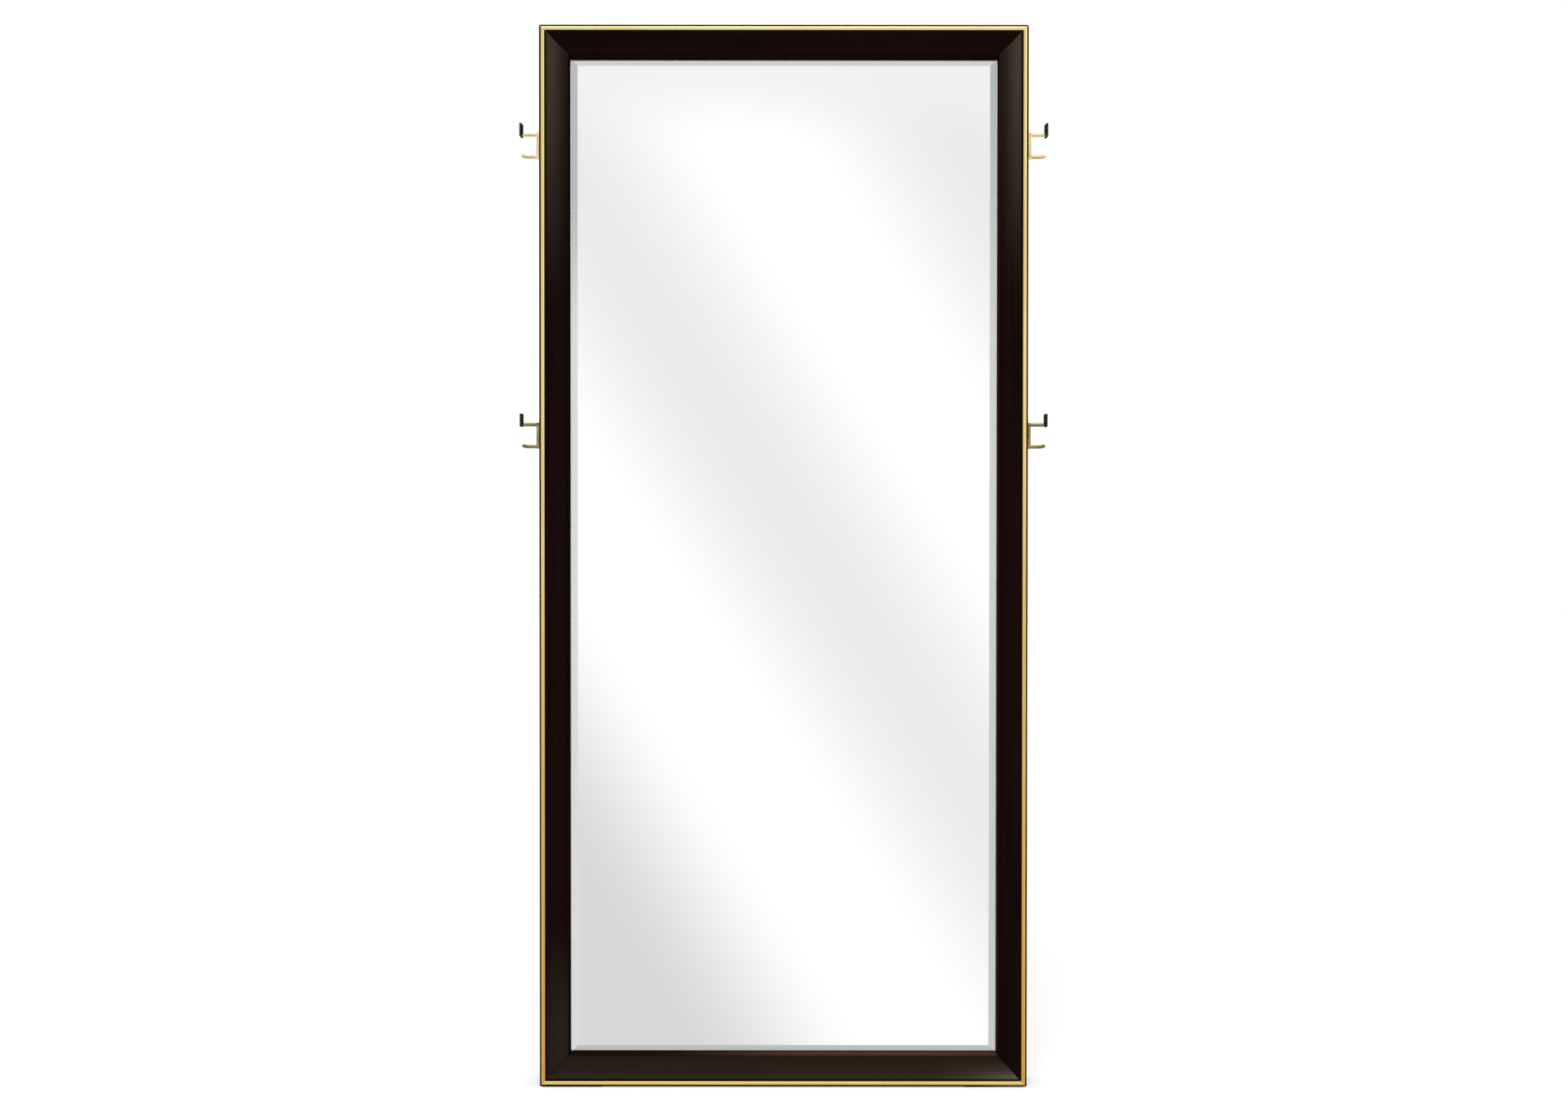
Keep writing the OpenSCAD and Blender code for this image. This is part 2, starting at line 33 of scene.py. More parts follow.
# The photograph's width in pixels, and the camera that its four outer corners give, in degrees and metres
PHOTO_W = 1920
SENSOR_W = 36.0
CAM_DISTANCE = 3.3
CAM_HEIGHT = 1.155
CAM_X = 0.0009
CAM_PITCH = 0.622
CAM_ROLL = 0.038
CAM_FOCAL_PX = 2013.7
CAM_SHIFT_Y = -0.015

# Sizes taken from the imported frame
FRONT_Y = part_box("left_stile")[0].y
SIDE_X = -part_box("left_stile")[0].x
FACE_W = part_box("left_stile")[1].x + SIDE_X
BASE_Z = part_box("bottom_rail")[0].z
TOP_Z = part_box("top_rail")[1].z
MID_Z = (BASE_Z + TOP_Z) / 2
HALF_H = (TOP_Z - BASE_Z) / 2
INLAY_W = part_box("brass_inlay_left")[1].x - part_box("brass_inlay_left")[0].x
INLAY_END = SIDE_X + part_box("brass_inlay_left")[1].x
INLAY_MIDDLE = INLAY_END - INLAY_W / 2

# The even light that matt surfaces get, and the sun that leaves the shadow
AMBIENT = 0.66
KEY_ENERGY = 1.1

# What shiny surfaces see: diagonal streaks on the wall in front, the wall behind, and two warm lamps
STREAK_SLOPE = 1.5
STREAK_START = 0.004
STREAK_PERIOD = 0.377
STREAK_MIDDLE = 0.952
STREAK_SWING = 0.108
BACK_WALL = 0.75
RIGHT_LAMP = 0.4
TOP_LAMP = 2.2
LAMP_COLOUR = (1.0, 0.88, 0.72)


# Node graphs


class Graph:
    """A node tree with short calls: an input takes a number, a colour or another node's output."""

    def __init__(self, tree):
        self.tree = tree

    def add(self, kind, inputs=None, **settings):
        made = self.tree.nodes.new(kind)
        for key, value in settings.items():
            setattr(made, key, value)
        for key, value in (inputs or {}).items():
            self.feed(made.inputs[key], value)
        return made

    def feed(self, socket, value):
        if isinstance(value, bpy.types.NodeSocket):
            self.tree.links.new(value, socket)
        else:
            socket.default_value = value

    def math(self, operation, a, b=0.0):
        made = self.add("ShaderNodeMath", {0: a, 1: b}, operation=operation)
        return made.outputs[0]

    def total(self, *values):
        result = values[0]
        for value in values[1:]:
            result = self.math("ADD", result, value)
        return result

    def product(self, *values):
        result = values[0]
        for value in values[1:]:
            result = self.math("MULTIPLY", result, value)
        return result

    def step(self, value, low, high, to_low=0.0, to_high=1.0):
        """A smooth step of value from low to high. It falls where low is the greater of the two."""
        inputs = {"Value": value, "From Min": low, "From Max": high, "To Min": to_low, "To Max": to_high}
        made = self.add("ShaderNodeMapRange", inputs, interpolation_type="SMOOTHSTEP")
        return made.outputs["Result"]

    def blend(self, factor, a, b):
        """A mix of two colours."""
        made = self.add("ShaderNodeMix", {0: factor, 6: a, 7: b}, data_type="RGBA")
        return made.outputs[2]

    def blend_numbers(self, factor, a, b):
        made = self.add("ShaderNodeMix", {0: factor, 2: a, 3: b}, data_type="FLOAT")
        return made.outputs[0]

    def dot(self, vector, direction):
        made = self.add("ShaderNodeVectorMath", {0: vector, 1: direction}, operation="DOT_PRODUCT")
        return made.outputs["Value"]

    def place(self):
        """The place in the frame. A CAD object sits at the origin, so its coordinates are the frame's."""
        return self.add("ShaderNodeTexCoord").outputs["Object"]

    def axes(self, vector):
        made = self.add("ShaderNodeSeparateXYZ", {0: vector})
        return made.outputs["X"], made.outputs["Y"], made.outputs["Z"]

    def noise(self, per_metre, detail=3.0, roughness=0.5, distortion=0.0):
        """Noise with so many features to the metre along X, Y and Z."""
        scaled = self.add("ShaderNodeVectorMath", {0: self.place(), 1: per_metre}, operation="MULTIPLY")
        inputs = {"Vector": scaled.outputs["Vector"], "Scale": 1.0, "Detail": detail,
                  "Roughness": roughness, "Distortion": distortion}
        return self.add("ShaderNodeTexNoise", inputs).outputs[0]

    def bump(self, height, distance, strength):
        inputs = {"Height": height, "Distance": distance, "Strength": strength}
        return self.add("ShaderNodeBump", inputs).outputs["Normal"]


def new_material(name, **constants):
    """A material whose Principled shader has these constants, with its graph and the shader."""
    made = bpy.data.materials.new(name)
    made.use_nodes = True
    shader = made.node_tree.nodes["Principled BSDF"]
    for key, value in constants.items():
        shader.inputs[key.replace("_", " ")].default_value = value
    return made, Graph(made.node_tree), shader


def rgb(red, green, blue):
    return (red, green, blue, 1.0)


def along(axis, across, lengthwise):
    """Features to the metre for something drawn out along one axis."""
    counts = [across, across, across]
    counts["XYZ".index(axis)] = lengthwise
    return tuple(counts)


def patch(g, value, low, high, soft):
    """1 where value lies between low and high, with soft ends."""
    rise = g.step(value, low - soft, low + soft)
    fall = g.step(value, high + soft, high - soft)
    return g.math("MULTIPLY", rise, fall)


# Materials


def depth_into_face(g, axis):
    """How far a point of a member drawn out along axis lies inwards from the frame's outer side."""
    x, _, z = g.axes(g.place())
    if axis == "Z":
        return g.math("SUBTRACT", SIDE_X, g.math("ABSOLUTE", x))
    return g.math("SUBTRACT", HALF_H, g.math("ABSOLUTE", g.math("SUBTRACT", z, MID_Z)))


def off_mitre(g):
    """How far a point is from the nearest corner's mitre plane."""
    across = g.math("SUBTRACT", depth_into_face(g, "Z"), depth_into_face(g, "X"))
    return g.product(across, math.sqrt(0.5))


def on_lower_rail(g, z):
    """1 on the pieces along the frame's bottom and 0 on those along its top."""
    return g.step(z, MID_Z + 0.1, MID_Z - 0.1)


def stile_tones(g, x, z, outer):
    """How much painted sheen a stile gets, the colour of that sheen, and its lip's painted light and shade.

    The painted sheen is strongest towards the top, most in the outer part of the face, and a little low on
    the left. The lip is painted brown on the right stile, which faces the light, and near black on the left
    stile, in shade.
    """
    high = g.product(g.step(z, 1.54, 2.12), g.total(0.25, g.product(outer, 0.75)))
    low_left = g.product(g.step(z, 0.34, 0.08), g.step(x, 0.1, -0.1), 0.27)
    lip_light_and_shade = g.blend(g.step(x, -0.1, 0.1), rgb(0.011, 0.006, 0.005), rgb(0.034, 0.013, 0.007))
    return g.total(high, low_left), rgb(0.064, 0.047, 0.032), lip_light_and_shade


def rail_tones(g, x, y, z, outer):
    """The same for a rail. Only the lower one gets painted sheen, most at its right end. Its lip is painted
    brown, lit, greyer at the front and near black at the left end. The upper rail's lip is painted near
    black, in shade.
    """
    lower = on_lower_rail(g, z)
    painted_sheen = g.product(lower, g.total(0.34, g.product(g.step(x, 0.28, 0.47), outer, 0.8)))
    deep = g.step(y, FRONT_Y + 25 * MM, FRONT_Y + 29 * MM)
    lip_light_and_shade = g.blend(deep, rgb(0.034, 0.031, 0.024), rgb(0.105, 0.048, 0.026))
    brown = g.product(lower, g.step(x, -0.28, 0.08))
    return painted_sheen, rgb(0.048, 0.035, 0.024), g.blend(brown, rgb(0.014, 0.006, 0.004), lip_light_and_shade)


def espresso_lacquer(axis):
    """Nearly black stained wood under satin lacquer, its grain along axis. The lip has no lacquer. The
    colour also carries painted light and shade: sheen high on the stiles and at the lower rail's right end,
    the lip lit or in shade by side, highlights on the upper mitres and at the lower rail's right end, and a
    shadow line by the inlay.
    """
    made, g, shader = new_material("espresso_lacquer_" + axis, Specular_IOR_Level=0.0, Coat_IOR=1.28,
                                   Coat_Roughness=0.2)
    grain = g.noise(along(axis, 240, 3.0), detail=5.0, roughness=0.6, distortion=0.4)
    broad = g.noise(along(axis, 26, 0.9), detail=2.0)
    pores = g.step(g.noise(along(axis, 1100, 28), detail=2.0), 0.60, 0.72)
    inward = depth_into_face(g, axis)
    x, y, z = g.axes(g.place())
    tone = g.math("MULTIPLY", g.total(grain, broad), 0.5)
    stain_and_painted_light = g.blend(g.step(tone, 0.36, 0.64), rgb(0.0054, 0.0017, 0.0012), rgb(0.0100, 0.0034, 0.0025))
    stain_and_painted_light = g.blend(g.product(pores, 0.5), stain_and_painted_light, rgb(0.0026, 0.0010, 0.0008))
    outer = g.step(inward, 50 * MM, 17 * MM)
    # Painted sheen: a lighter colour high on the stiles, a little low on the left stile, and at the lower
    # rail's right end, where the lacquer would catch the light.
    if axis == "Z":
        painted_sheen, sheen_colour, lip_light_and_shade = stile_tones(g, x, z, outer)
    else:
        painted_sheen, sheen_colour, lip_light_and_shade = rail_tones(g, x, y, z, outer)
    past_inlay = g.step(inward, INLAY_END - 1 * MM, INLAY_END + 1 * MM)
    painted_sheen = g.product(painted_sheen, past_inlay, g.step(broad, 0.2, 0.8, 0.8, 1.1))
    stain_and_painted_light = g.blend(painted_sheen, stain_and_painted_light, sheen_colour)
    if axis == "X":
        # A painted highlight: the outer face near the lower rail's right end is blended towards pale grey.
        wear_and_sheen = g.product(on_lower_rail(g, z), g.step(x, 0.38, 0.48), g.step(inward, 30 * MM, 15 * MM))
        stain_and_painted_light = g.blend(g.product(wear_and_sheen, 0.6), stain_and_painted_light, rgb(0.13, 0.115, 0.095))
    # The unlacquered lip's colour is painted light and shade: brown where it faces the light, near black
    # where it faces away.
    lip = g.step(inward, FACE_W - 0.6 * MM, FACE_W - 0.3 * MM)
    stain_and_painted_light = g.blend(g.product(lip, g.step(grain, 0.3, 0.7, 0.75, 1.0)), stain_and_painted_light, lip_light_and_shade)
    arris = g.step(inward, 1.3 * MM, 0.3 * MM)
    rubbed = g.product(arris, g.step(g.noise((35, 35, 35), detail=4.0), 0.56, 0.68))
    stain_and_painted_light = g.blend(g.product(rubbed, 0.5), stain_and_painted_light, rgb(0.030, 0.013, 0.008))
    # The mitre seams: a dark joint line low on the frame, and higher up a painted highlight, pale grey,
    # where the rounded arris would catch the light.
    seam = g.step(g.math("ABSOLUTE", off_mitre(g)), 0.9 * MM, 0.4 * MM)
    joint_and_highlight_colour = g.blend(g.step(z, 0.8, 1.4), rgb(0.001, 0.001, 0.001), rgb(0.085, 0.070, 0.058))
    stain_and_painted_light = g.blend(g.product(seam, g.step(inward, FACE_W, 12 * MM, 0.55, 1.0)), stain_and_painted_light, joint_and_highlight_colour)
    # A painted shadow line: the narrow flat on the front just past the inlay is blended towards red-black,
    # as the step down from the brass would be in shade.
    at_front = g.step(y, FRONT_Y + 9 * MM, FRONT_Y + 8 * MM)
    shade_by_inlay = g.product(patch(g, inward, INLAY_END, INLAY_END + 4.5 * MM, 1 * MM), at_front)
    stain_and_painted_light = g.blend(g.product(shade_by_inlay, 0.9), stain_and_painted_light, rgb(0.0100, 0.0026, 0.0006))
    g.feed(shader.inputs["Base Color"], stain_and_painted_light)
    smear = g.step(g.noise((9, 9, 9), detail=3.0), 0.3, 0.7, 0.8, 1.2)
    film = g.product(g.step(inward, 10 * MM, 18 * MM, 0.06, 0.20), smear)
    film = g.product(film, g.step(inward, 52 * MM, 36 * MM, 0.3, 1.0))
    if axis == "Z":
        film = g.product(film, g.step(z, 1.4, 1.7, 0.65, 1.0))
    flank = g.step(inward, 0.6 * MM, 0.1 * MM)
    film = g.total(film, g.product(flank, 0.22))
    film = g.math("MULTIPLY", film, g.math("SUBTRACT", 1.0, g.math("MAXIMUM", lip, pores)))
    g.feed(shader.inputs["Coat Weight"], film)
    g.feed(shader.inputs["Roughness"], g.step(grain, 0.3, 0.7, 0.35, 0.5))
    relief = g.bump(g.math("SUBTRACT", g.product(grain, 0.35), pores), 0.05 * MM, 0.35)
    g.feed(shader.inputs["Normal"], relief)
    g.feed(shader.inputs["Coat Normal"], relief)
    return made


def lacquered_brass(axis):
    """Bright satin brass, drawn lengthwise. Low on the stiles it is more orange, and it has painted shade
    down its middle, a little on the rails and most low on the stiles.
    """
    made, g, shader = new_material("lacquered_brass_" + axis, Metallic=1.0)
    drawn = g.noise(along(axis, 2600, 6), detail=3.0, roughness=0.6)
    tarnish = g.step(g.noise(along(axis, 30, 5), detail=5.0, roughness=0.62), 0.45, 0.72)
    # Painted shade: the middle of the strip is blended towards a darker, more saturated brass.
    middle = g.math("ABSOLUTE", g.math("SUBTRACT", depth_into_face(g, axis), INLAY_MIDDLE))
    shaded_middle = g.step(middle, INLAY_W * 0.30, INLAY_W * 0.12)
    z = g.axes(g.place())[2]
    if axis == "Z":
        colour = g.blend(drawn, rgb(0.98, 0.76, 0.29), rgb(1.0, 0.84, 0.38))
        low = g.step(g.math("SUBTRACT", z, g.product(g.noise((1.5, 1.5, 2.5)), 0.5)), 1.3, -0.25)
        colour = g.blend(g.product(low, 0.9), colour, rgb(0.95, 0.50, 0.075))
        shaded_middle = g.product(shaded_middle, g.total(0.08, g.product(low, 0.6)))
    else:
        colour = g.blend(drawn, rgb(0.98, 0.80, 0.38), rgb(1.0, 0.88, 0.46))
        colour = g.blend(on_lower_rail(g, z), colour, rgb(0.98, 0.79, 0.24))
        shaded_middle = g.product(shaded_middle, 0.12)
    colour = g.blend(shaded_middle, colour, rgb(0.60, 0.36, 0.06))
    colour = g.blend(g.product(tarnish, 0.2), colour, rgb(0.66, 0.45, 0.14))
    g.feed(shader.inputs["Base Color"], colour)
    g.feed(shader.inputs["Roughness"], g.total(0.15, g.product(drawn, 0.08), g.product(tarnish, 0.12)))
    g.feed(shader.inputs["Normal"], g.bump(drawn, 0.02 * MM, 0.3))
    return made


def aged_brass():
    """The hooks' satin brass: the upper pair pale and nearly clean, the lower pair darker brown and more
    tarnished.
    """
    made, g, shader = new_material("aged_brass", Metallic=1.0)
    lower_pair = g.step(g.axes(g.place())[2], 1.70, 1.55)
    fine = g.noise((900, 900, 900), detail=2.0)
    patches = g.noise((70, 70, 55), detail=5.0, roughness=0.65)
    tarnish = g.product(g.step(patches, 0.40, 0.66), g.total(0.35, g.product(lower_pair, 0.40)))
    tarnish_colour = g.blend(lower_pair, rgb(0.26, 0.165, 0.070), rgb(0.17, 0.12, 0.042))
    colour = g.blend(fine, rgb(0.86, 0.68, 0.34), rgb(0.95, 0.79, 0.44))
    colour = g.blend(g.product(lower_pair, 0.85), colour, rgb(0.25, 0.185, 0.070))
    colour = g.blend(tarnish, colour, tarnish_colour)
    g.feed(shader.inputs["Base Color"], colour)
    g.feed(shader.inputs["Roughness"], g.total(0.16, g.product(tarnish, 0.25), g.product(fine, 0.06)))
    g.feed(shader.inputs["Normal"], g.bump(g.total(fine, patches), 0.03 * MM, 0.4))
    return made


def black_lacquer():
    """The tabs' black lacquer: satin on the broad faces, and grey bronze in patches along the edges, part
    rubbed through and part painted highlight.
    """
    made, g, shader = new_material("black_lacquer", Specular_IOR_Level=0.0, Coat_IOR=1.3,
                                   Coat_Roughness=0.25)
    facing = g.axes(g.add("ShaderNodeTexCoord").outputs["Normal"])[0]
    edge = g.step(g.math("ABSOLUTE", facing), 0.9, 0.5)
    wear_and_sheen = g.step(g.noise((260, 260, 260), detail=4.0), 0.36, 0.62, 0.35, 1.0)
    fine = g.noise((1500, 1500, 1500), detail=3.0)
    colour = g.blend(fine, rgb(0.0040, 0.0036, 0.0034), rgb(0.0085, 0.0075, 0.0068))
    # The edges are painted grey bronze in patches: part wear, part painted highlight.
    g.feed(shader.inputs["Base Color"], g.blend(g.product(edge, wear_and_sheen), colour, rgb(0.060, 0.050, 0.040)))
    g.feed(shader.inputs["Coat Weight"], g.blend_numbers(edge, 0.03, 0.10))
    g.feed(shader.inputs["Roughness"], g.total(0.35, g.product(fine, 0.2)))
    g.feed(shader.inputs["Normal"], g.bump(fine, 0.02 * MM, 0.4))
    return made


def silvered_glass():
    """Mirror glass, a little greener at its bevel, with a fine pale, rough line in the bevel by the frame,
    a painted highlight.
    """
    made, g, shader = new_material("silvered_glass")
    line_w = 1.7 * MM
    line_from_side = 3.3 * MM
    line_from_end = 7.0 * MM
    from_side = g.math("SUBTRACT", depth_into_face(g, "Z"), FACE_W)
    from_end = g.math("SUBTRACT", depth_into_face(g, "X"), FACE_W)
    side_line = patch(g, from_side, line_from_side, line_from_side + line_w, 0.3 * MM)
    end_line = patch(g, from_end, line_from_end, line_from_end + line_w, 0.3 * MM)
    clear_of_ends = g.step(from_end, line_from_end, line_from_end + 1.0 * MM)
    clear_of_sides = g.step(from_side, line_from_side + 0.1 * MM, line_from_side + 0.7 * MM)
    # A painted highlight: a thin line, pale, rough and less metallic than the rest of the glass.
    line = g.math("MAXIMUM", g.product(side_line, clear_of_ends), g.product(end_line, clear_of_sides))
    bevel = g.step(g.math("MINIMUM", from_side, from_end), 19 * MM, 12 * MM)
    colour = g.blend(bevel, rgb(0.975, 0.982, 0.980), rgb(0.945, 0.962, 0.956))
    g.feed(shader.inputs["Base Color"], g.blend(line, colour, rgb(0.98, 0.93, 0.91)))
    g.feed(shader.inputs["Metallic"], g.math("SUBTRACT", 1.0, g.product(line, 0.7)))
    g.feed(shader.inputs["Roughness"], g.product(line, 0.5))
    return made


def pale_wood():
    """Planed softwood of the battens and splines."""
    made, g, shader = new_material("pale_wood", Specular_IOR_Level=0.3)
    rings = g.noise((150, 150, 4), detail=4.0, distortion=0.6)
    colour = g.blend(g.step(rings, 0.35, 0.65), rgb(0.50, 0.33, 0.17), rgb(0.64, 0.46, 0.27))
    g.feed(shader.inputs["Base Color"], colour)
    g.feed(shader.inputs["Roughness"], g.total(0.55, g.product(rings, 0.2)))
    g.feed(shader.inputs["Normal"], g.bump(rings, 0.1 * MM, 0.5))
    return made


def fibreboard():
    """The back panel's smooth brown board with pressed fibres and faint blotches."""
    made, g, shader = new_material("fibreboard", Specular_IOR_Level=0.3)
    fibres = g.noise((700, 700, 420), detail=6.0, roughness=0.7, distortion=0.8)
    flecks = g.step(g.noise((1500, 1500, 900), detail=2.0), 0.62, 0.72)
    blotches = g.noise((6, 6, 4), detail=4.0)
    colour = g.blend(fibres, rgb(0.20, 0.115, 0.055), rgb(0.30, 0.185, 0.095))
    colour = g.blend(g.step(blotches, 0.35, 0.7, 0.0, 0.45), colour, rgb(0.17, 0.095, 0.046))
    colour = g.blend(g.product(flecks, 0.6), colour, rgb(0.10, 0.055, 0.028))
    g.feed(shader.inputs["Base Color"], colour)
    g.feed(shader.inputs["Roughness"], g.total(0.48, g.product(fibres, 0.22)))
    g.feed(shader.inputs["Normal"], g.bump(fibres, 0.08 * MM, 0.5))
    return made


def zinc_steel():
    """Zinc-plated steel: cloudy grey with a faint yellow cast."""
    made, g, shader = new_material("zinc_steel", Metallic=1.0)
    clouds = g.noise((120, 120, 120), detail=5.0, roughness=0.65)
    fine = g.noise((1300, 1300, 1300), detail=2.0)
    colour = g.blend(g.step(clouds, 0.35, 0.65), rgb(0.52, 0.53, 0.54), rgb(0.68, 0.67, 0.62))
    g.feed(shader.inputs["Base Color"], colour)
    g.feed(shader.inputs["Roughness"], g.total(0.26, g.product(clouds, 0.16), g.product(fine, 0.05)))
    g.feed(shader.inputs["Normal"], g.bump(fine, 0.02 * MM, 0.4))
    return made


def black_oxide():
    """Blackened steel of the screws."""
    made, g, shader = new_material("black_oxide", Metallic=0.7)
    fine = g.noise((1500, 1500, 1500), detail=3.0)
    wear_and_sheen = g.step(g.noise((500, 500, 500), detail=3.0), 0.55, 0.7)
    colour = g.blend(fine, rgb(0.012, 0.012, 0.013), rgb(0.035, 0.034, 0.034))
    g.feed(shader.inputs["Base Color"], g.blend(g.product(wear_and_sheen, 0.5), colour, rgb(0.12, 0.115, 0.11)))
    g.feed(shader.inputs["Roughness"], g.total(0.32, g.product(fine, 0.18)))
    return made


def black_rubber():
    """Matt moulded rubber with a little dust."""
    made, g, shader = new_material("black_rubber", Specular_IOR_Level=0.35)
    fine = g.noise((1800, 1800, 1800), detail=3.0)
    dust = g.step(g.noise((90, 90, 90), detail=4.0), 0.5, 0.75)
    colour = g.blend(g.product(dust, 0.35), rgb(0.012, 0.012, 0.013), rgb(0.06, 0.058, 0.055))
    g.feed(shader.inputs["Base Color"], colour)
    g.feed(shader.inputs["Roughness"], g.total(0.62, g.product(fine, 0.2)))
    g.feed(shader.inputs["Normal"], g.bump(fine, 0.05 * MM, 0.5))
    return made


# Dressing the CAD nodes


def dress(names, material, arris, flat=False):
    """Gives nodes a material and rounds their edges to the width of arris.

    A flat plate has the triangles of each face joined first, so that no sliver is left between its holes.
    """
    for name in names:
        piece = nodes[name]
        piece.data.materials.clear()
        piece.data.materials.append(material)
        weld = piece.modifiers.new("weld", "WELD")
        weld.merge_threshold = 0.002 * MM
        if flat:
            join = piece.modifiers.new("flats", "DECIMATE")
            join.decimate_type = "DISSOLVE"
            join.angle_limit = math.radians(0.2)
        if arris:
            bevel = piece.modifiers.new("arris", "BEVEL")
            bevel.width = arris
            bevel.segments = 2
            bevel.limit_method = "ANGLE"
            bevel.angle_limit = math.radians(32)
            bevel.use_clamp_overlap = True
        shading = piece.modifiers.new("shading", "WEIGHTED_NORMAL")
        shading.keep_sharp = True
        shading.weight = 100


def named(*parts):
    """The nodes whose names hold all these words."""
    return [name for name in nodes if all(part in name for part in parts)]


def dress_all():
    """Gives every CAD node its material, and all but the glass soft edges."""
    dress(["left_stile", "right_stile"], espresso_lacquer("Z"), 0.45 * MM)
    dress(["top_rail", "bottom_rail"], espresso_lacquer("X"), 0.45 * MM)
    dress(["brass_inlay_left", "brass_inlay_right"], lacquered_brass("Z"), 0.2 * MM)
    dress(["brass_inlay_top", "brass_inlay_bottom"], lacquered_brass("X"), 0.2 * MM)
    dress(["mirror_glass"], silvered_glass(), 0.0)
    dress(named("hook_tab"), black_lacquer(), 0.35 * MM)
    dress(named("batten") + ["mitre_splines"], pale_wood(), 0.4 * MM)
    zinc = zinc_steel()
    brass = aged_brass()
    dress(["back_panel"], fibreboard(), 0.4 * MM, flat=True)
    dress(named("brace_top") + named("brace_bottom"), zinc, 0.2 * MM, flat=True)
    dress(named("ring_plate_left") + named("ring_plate_right") + named("hanging_ring"), zinc, 0.2 * MM)
    dress(named("hook_bracket"), brass, 0.3 * MM)
    dress(named("hook_screws"), brass, 0.12 * MM)
    dress([name for name in named("screws") if "hook" not in name], black_oxide(), 0.12 * MM)
    dress(["setting_blocks", "edge_spacers", "wall_bumpers", "foot_pads"], black_rubber(), 0.5 * MM)


# The studio: how light its walls are by the direction in which a shiny surface looks, with X to the right
# and Z up, each from -1 to 1


def streaks(g, direction):
    """Soft diagonal bands of light on the wall facing the glass, greyer at the top and low on the left."""
    height = g.dot(direction, (STREAK_SLOPE, 0.0, 1.0))
    turns = g.product(g.math("SUBTRACT", height, STREAK_START), 2 * math.pi / STREAK_PERIOD)
    wave = g.math("COSINE", turns)
    bands = g.math("SUBTRACT", STREAK_MIDDLE, g.product(wave, STREAK_SWING))
    corner = g.step(height, -0.395, -0.205, 0.70, 1.06)
    top = g.step(g.axes(direction)[2], 0.212, 0.262, 0.0, 0.9)
    return g.blend_numbers(top, g.math("MINIMUM", bands, corner), 0.895)


def bevel_walls(g, x, z):
    """What the glass's bevel shows: walls just outside the streaked one, greyer below and high up."""
    above_and_below = g.step(z, -0.3, 0.3, 0.53, 0.655)
    left = g.step(z, 0.10, 0.20, 0.735, 0.51)
    right = g.product(g.step(z, 0.27, 0.09, 0.73, 1.0), g.step(z, -0.35, 0.10, 0.60, 0.66))
    walls = g.blend_numbers(g.step(x, -0.25, -0.32), above_and_below, left)
    return g.blend_numbers(g.step(x, 0.25, 0.32), walls, right)


def outer_walls(g, x, z):
    """The studio's sides, grey on the left and lighter there below eye level, pale above and dim below."""
    low = g.step(z, 0.16, -0.02)
    far_left = g.step(x, -0.74, -0.84)
    left = g.total(0.64, g.product(low, 0.14), g.product(low, far_left, 0.19))
    walls = g.blend_numbers(g.step(x, -0.5, 0.5), left, 0.86)
    walls = g.blend_numbers(g.step(z, 0.55, 0.75), walls, 0.95)
    return g.blend_numbers(g.step(z, -0.60, -0.75), walls, 0.60)


def studio_levels(g, direction):
    """Red, green and blue of what shiny surfaces see: the walls, with two warm lamps, right and above."""
    x, y, z = g.axes(direction)
    away = g.math("ABSOLUTE", x)
    front = g.step(y, 0.15, -0.15)
    by_bevel = g.product(g.step(away, 0.48, 0.42), patch(g, z, -0.60, 0.58, 0.04), front)
    by_glass = g.product(g.step(away, 0.32, 0.24), patch(g, z, -0.40, 0.34, 0.06), front)
    level = g.blend_numbers(by_bevel, outer_walls(g, x, z), bevel_walls(g, x, z))
    level = g.blend_numbers(by_glass, level, streaks(g, direction))
    level = g.blend_numbers(g.step(y, -0.1, 0.35), level, BACK_WALL)
    right = g.product(patch(g, x, 0.46, 0.90, 0.05), patch(g, z, 0.12, 0.50, 0.08), front, RIGHT_LAMP)
    top = g.product(patch(g, z, 0.80, 0.96, 0.03), front, TOP_LAMP)
    lamps = g.total(right, top)
    return [g.total(level, g.product(lamps, part)) for part in LAMP_COLOUR]


def make_world():
    """White to the camera, the studio's walls and lamps to shiny surfaces, an even light to the rest."""
    world = bpy.data.worlds.new("studio")
    bpy.context.scene.world = world
    world.use_nodes = True
    g = Graph(world.node_tree)
    background = world.node_tree.nodes["Background"]
    direction = g.add("ShaderNodeTexCoord").outputs["Generated"]
    paths = g.add("ShaderNodeLightPath").outputs
    reflected = g.math("MAXIMUM", paths["Is Glossy Ray"], paths["Is Transmission Ray"])
    seen = [g.blend_numbers(reflected, AMBIENT, part) for part in studio_levels(g, direction)]
    seen = [g.blend_numbers(paths["Is Camera Ray"], part, 1.0) for part in seen]
    colour = g.add("ShaderNodeCombineColor", dict(enumerate(seen))).outputs[0]
    g.feed(background.inputs["Color"], colour)


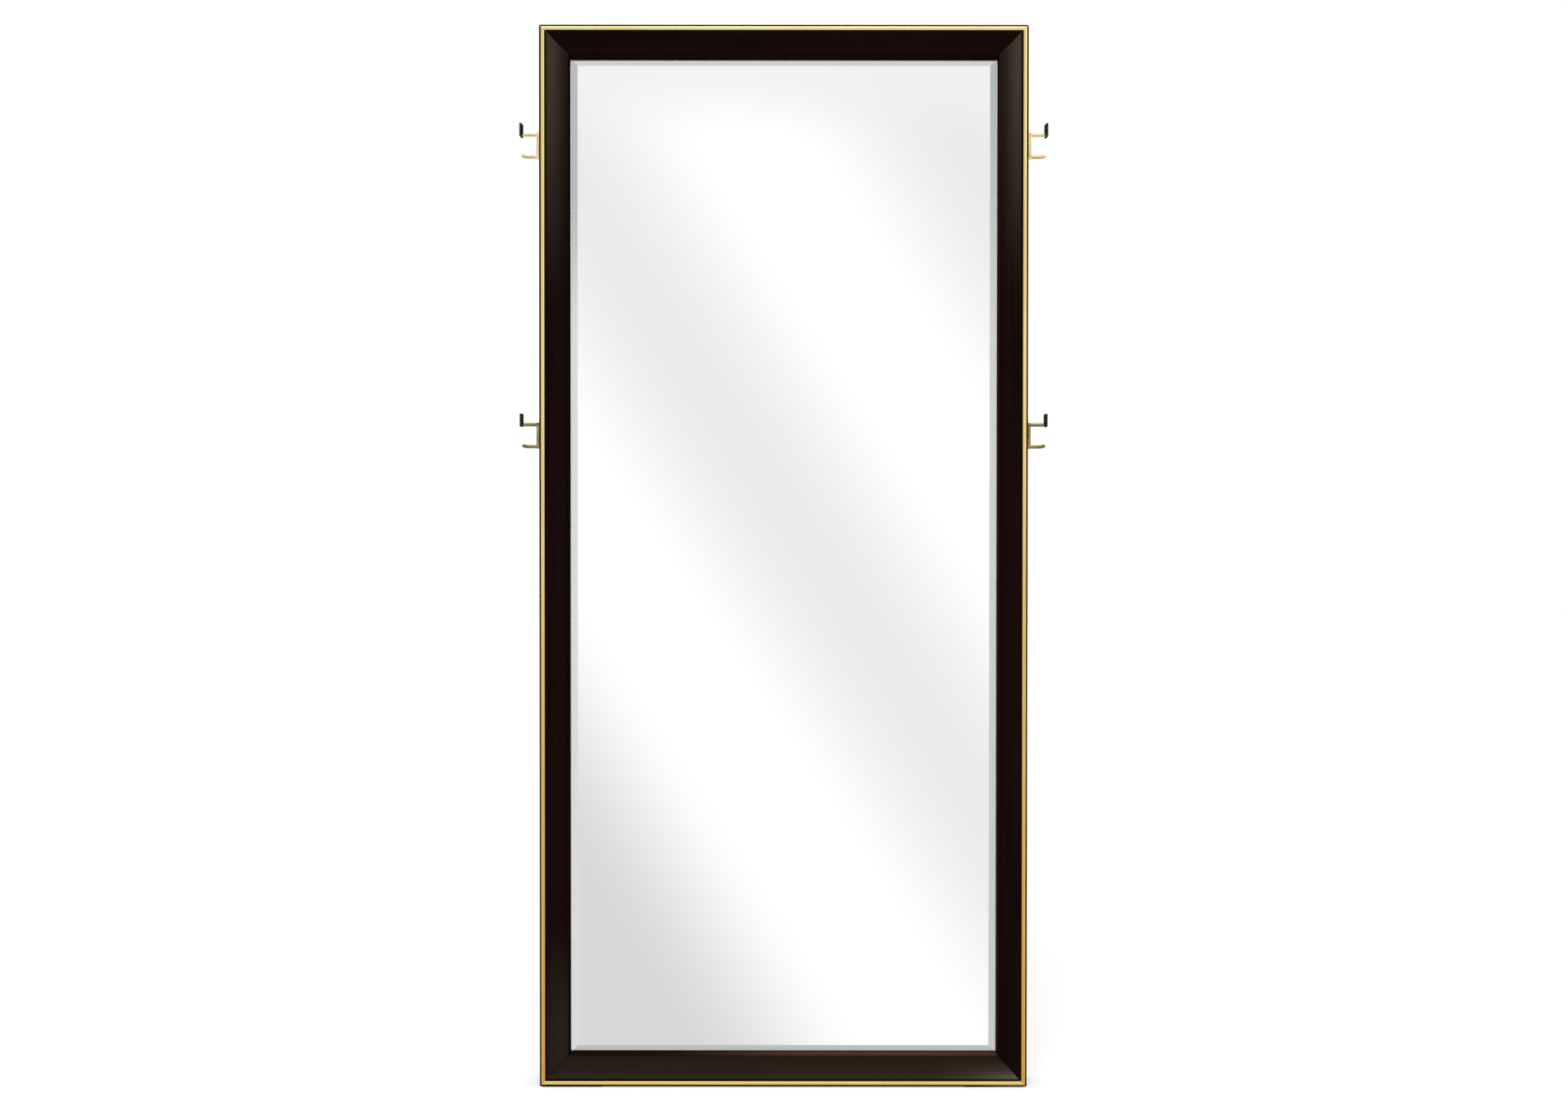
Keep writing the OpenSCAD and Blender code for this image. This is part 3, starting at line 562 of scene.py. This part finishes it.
def make_sun():
    """The sun, high in front, which leaves a shadow behind the mirror. Shiny surfaces don't see it."""
    data = bpy.data.lights.new("key", "SUN")
    data.energy = KEY_ENERGY
    data.angle = math.radians(35)
    key = bpy.data.objects.new("key", data)
    key.rotation_euler = Vector((0.06, 0.80, -1.0)).to_track_quat("-Z", "Y").to_euler()
    key.visible_glossy = False
    bpy.context.scene.collection.objects.link(key)


def make_floor():
    """A white floor that keeps a soft shadow. Shiny surfaces look past it to the studio."""
    size = 14.0
    mesh = bpy.data.meshes.new("floor")
    corners = [(-size, -size, 0), (size, -size, 0), (size, size, 0), (-size, size, 0)]
    mesh.from_pydata(corners, [], [(0, 1, 2, 3)])
    floor = bpy.data.objects.new("floor", mesh)
    bpy.context.scene.collection.objects.link(floor)
    made, g, shader = new_material("white_floor", Base_Color=rgb(0.82, 0.82, 0.82), Roughness=0.9,
                                   Specular_IOR_Level=0.0, Emission_Color=rgb(1, 1, 1))
    lift_to_white = 0.34
    seen_directly = g.add("ShaderNodeLightPath").outputs["Is Camera Ray"]
    g.feed(shader.inputs["Emission Strength"], g.product(seen_directly, lift_to_white))
    mesh.materials.append(made)
    floor.visible_glossy = False


def make_camera():
    """The camera. The photograph's stood higher, with a shift that would spoil the views from the sides."""
    data = bpy.data.cameras.new("camera")
    data.sensor_width = SENSOR_W
    data.lens = CAM_FOCAL_PX * SENSOR_W / PHOTO_W
    data.shift_y = CAM_SHIFT_Y
    camera = bpy.data.objects.new("camera", data)
    camera.location = (CAM_X, FRONT_Y - CAM_DISTANCE, CAM_HEIGHT)
    level = Euler((math.radians(90 - CAM_PITCH), 0.0, 0.0)).to_quaternion()
    camera.rotation_mode = "QUATERNION"
    camera.rotation_quaternion = level @ Euler((0.0, 0.0, math.radians(CAM_ROLL))).to_quaternion()
    bpy.context.scene.collection.objects.link(camera)
    bpy.context.scene.camera = camera


make_camera()
make_world()
make_sun()
make_floor()
dress_all()
bpy.context.scene.view_settings.view_transform = "Standard"
